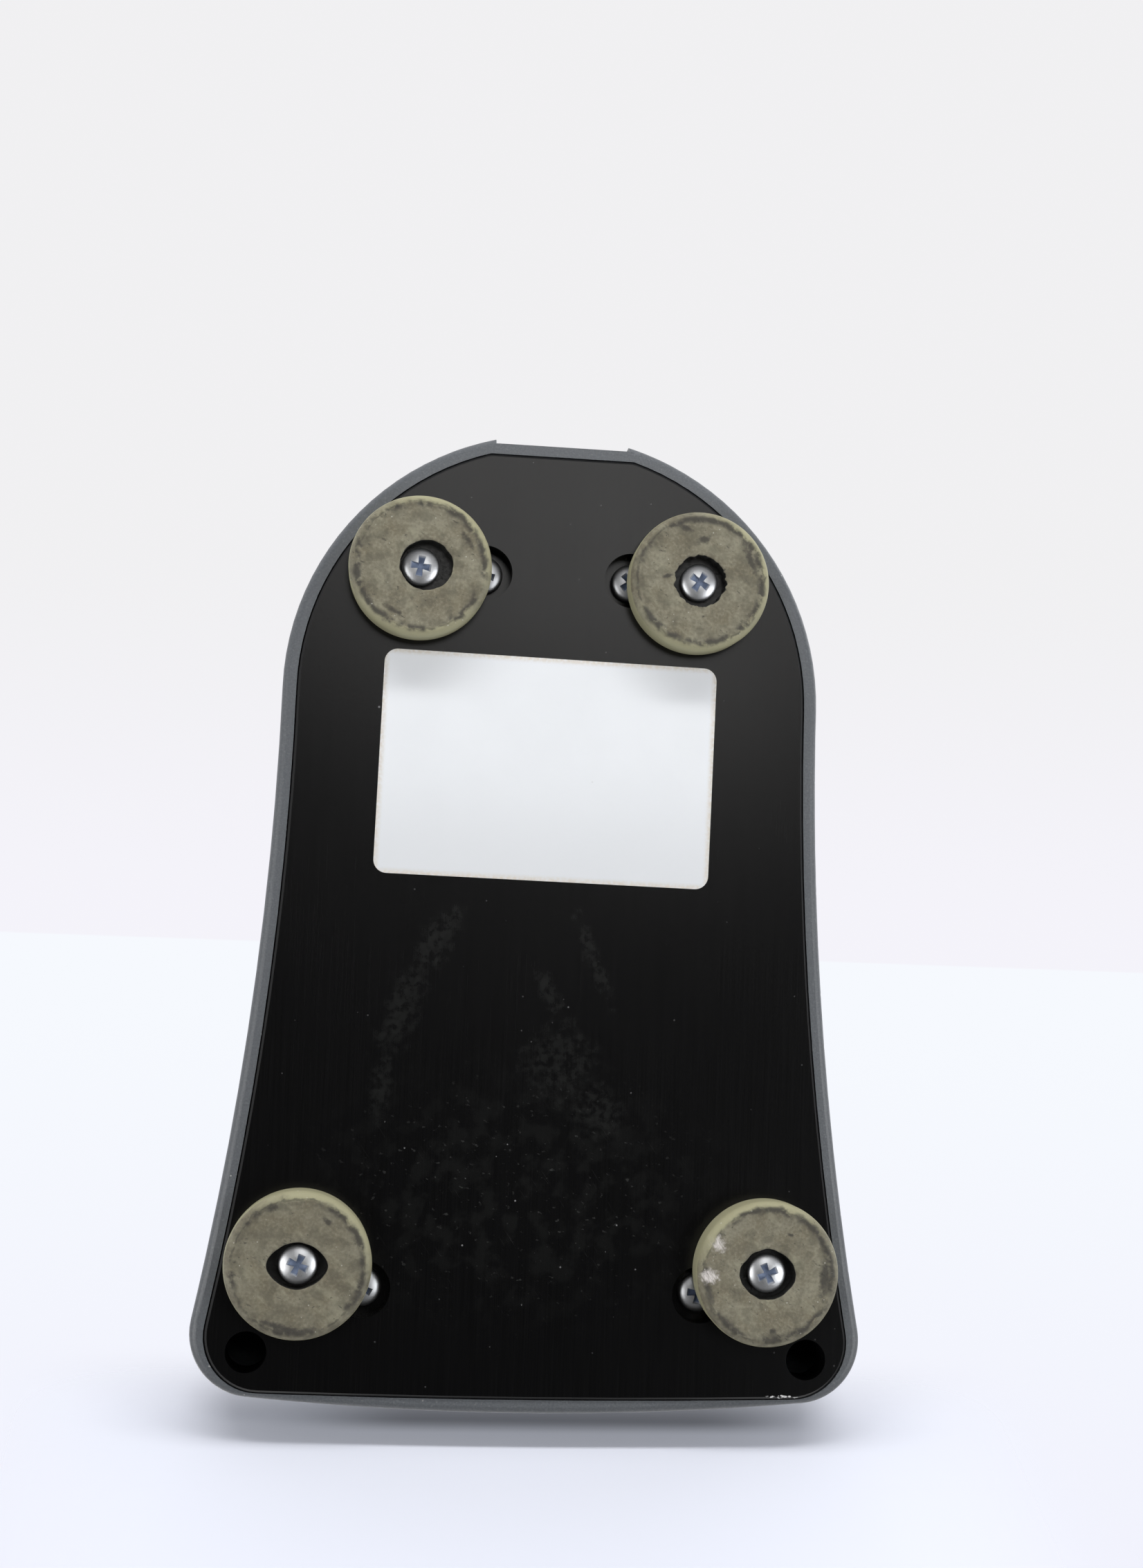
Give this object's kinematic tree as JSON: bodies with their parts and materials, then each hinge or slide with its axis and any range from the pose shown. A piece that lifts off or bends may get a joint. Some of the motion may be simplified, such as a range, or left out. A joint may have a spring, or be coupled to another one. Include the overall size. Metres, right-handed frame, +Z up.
{
  "type": "vortex mixer",
  "caption": "Bench vortex mixer: grey cast housing on a black base plate with rubber feet, black rubber cup head that orbits when pressed, speed knob, rocker switch and rear power inlet.",
  "frame": {"origin": "on the bench, under the middle of the whole body's box", "axes": "+X to the right of a user who faces the control deck, +Y to the rear, +Z up"},
  "size_m": [0.15, 0.221, 0.162],
  "materials": {
    "housing_paint": "grey fine-textured paint",
    "plate_paint": "satin black paint, brushed and scuffed",
    "foot_rubber": "aged olive-beige rubber, worn face",
    "zinc_screw": "zinc-plated",
    "label_film": "bare pale film",
    "panel_film": "dark textured film",
    "knob_plastic": "black moulded plastic",
    "pointer_paint": "white filled line",
    "switch_plastic": "black moulded plastic",
    "inlet_plastic": "black moulded plastic",
    "blade_metal": "nickel-plated brass",
    "fuse_tube": "clear glass",
    "head_rubber": "black moulded rubber",
    "collar_plastic": "dark moulded plastic",
    "machined_steel": "turned steel",
    "machined_aluminium": "turned or cast aluminium",
    "motor_paint": "dark paint",
    "winding_wire": "enamelled copper",
    "bushing_bronze": "sintered bronze",
    "inner_plastic": "natural moulded plastic",
    "board_laminate": "green laminate",
    "capacitor_sleeve": "shrink sleeve",
    "lead_sleeve": "black sleeve"
  },
  "bodies": {
    "base": {"base_plate": "plate_paint", "board_screws": "zinc_screw", "board_standoffs": "machined_steel", "control_board": "board_laminate", "control_panel": "panel_film", "foot_front_left": "foot_rubber", "foot_front_right": "foot_rubber", "foot_rear_left": "foot_rubber", "foot_rear_right": "foot_rubber", "foot_screws": "zinc_screw", "guide_pins": "machined_steel", "head_collar": "collar_plastic", "heat_sink": "machined_aluminium", "housing": "housing_paint", "housing_screws": "zinc_screw", "inlet_blades": "blade_metal", "inlet_lead": "lead_sleeve", "motor_bolts": "zinc_screw", "motor_bushings": "bushing_bronze", "motor_can": "motor_paint", "motor_capacitor": "capacitor_sleeve", "motor_isolators": "head_rubber", "motor_lead": "lead_sleeve", "motor_lower_bracket": "machined_aluminium", "motor_posts": "machined_steel", "motor_upper_bracket": "machined_aluminium", "pot_nut": "blade_metal", "power_inlet": "inlet_plastic", "rating_label": "label_film", "speed_pot": "collar_plastic", "spring_post": "machined_steel", "stator_pack": "motor_paint", "stator_windings": "winding_wire", "switch_body": "switch_plastic", "terminal_block": "collar_plastic", "thrust_spring": "machined_steel", "touch_switch": "collar_plastic"},
    "carrier": {"thrust_cup": "inner_plastic"},
    "rotor": {"motor_shaft": "machined_steel", "rotor_core": "machined_aluminium", "cooling_fan": "inner_plastic", "eccentric_hub": "machined_aluminium", "hub_set_screw": "machined_steel", "counterweight": "machined_steel", "bearing_inner_ring": "machined_steel", "bearing_balls": "machined_steel"},
    "head": {"bearing_outer_ring": "machined_steel", "head_platform": "machined_aluminium", "cup_head": "head_rubber", "head_screw": "zinc_screw"},
    "knob": {"speed_knob": "knob_plastic", "knob_pointer": "pointer_paint", "pot_shaft": "machined_steel"},
    "rocker": {"rocker": "switch_plastic"},
    "fuse_drawer": {"fuse_drawer": "inlet_plastic", "fuse_glass": "fuse_tube", "fuse_caps": "blade_metal"},
    "touch_lever": {"touch_lever": "machined_steel"}
  },
  "joints": [
    {"name": "head_press", "type": "slide", "parent": "base", "child": "carrier", "axis": [0, 0, -1], "range_m": [0, 0.002], "stiffness_N_per_m": 4000, "springref_m": -0.004, "deforming": ["thrust_spring"]},
    {"name": "motor_spin", "type": "hinge", "parent": "carrier", "child": "rotor", "pos_m": [0, 0.045, 0.07], "axis": [0, 0, 1], "continuous": true},
    {"name": "head_orbit", "type": "hinge", "parent": "rotor", "child": "head", "pos_m": [0.00245, 0.045, 0.1175], "axis": [0, 0, 1], "continuous": true},
    {"name": "speed_knob_turn", "type": "hinge", "parent": "base", "child": "knob", "pos_m": [0.024, -0.076, 0.05306], "axis": [0, -0.5, 0.866], "range_deg": [-135, 135]},
    {"name": "power_rocker", "type": "hinge", "parent": "base", "child": "rocker", "pos_m": [-0.021, -0.0768, 0.05444], "axis": [-1, 0, 0], "range_deg": [0, 24]},
    {"name": "fuse_drawer_slide", "type": "slide", "parent": "base", "child": "fuse_drawer", "axis": [0, 1, 0], "range_m": [0, 0.018]},
    {"name": "touch_lever_swing", "type": "hinge", "parent": "base", "child": "touch_lever", "pos_m": [0.023, 0.045, 0.0254], "axis": [0, -1, 0], "range_deg": [0, 8]}
  ],
  "couplings": [
    {"joint": "head_orbit", "follows": "motor_spin", "ratio": -1},
    {"joint": "touch_lever_swing", "follows": "head_press", "rad_per_m": 66}
  ]
}
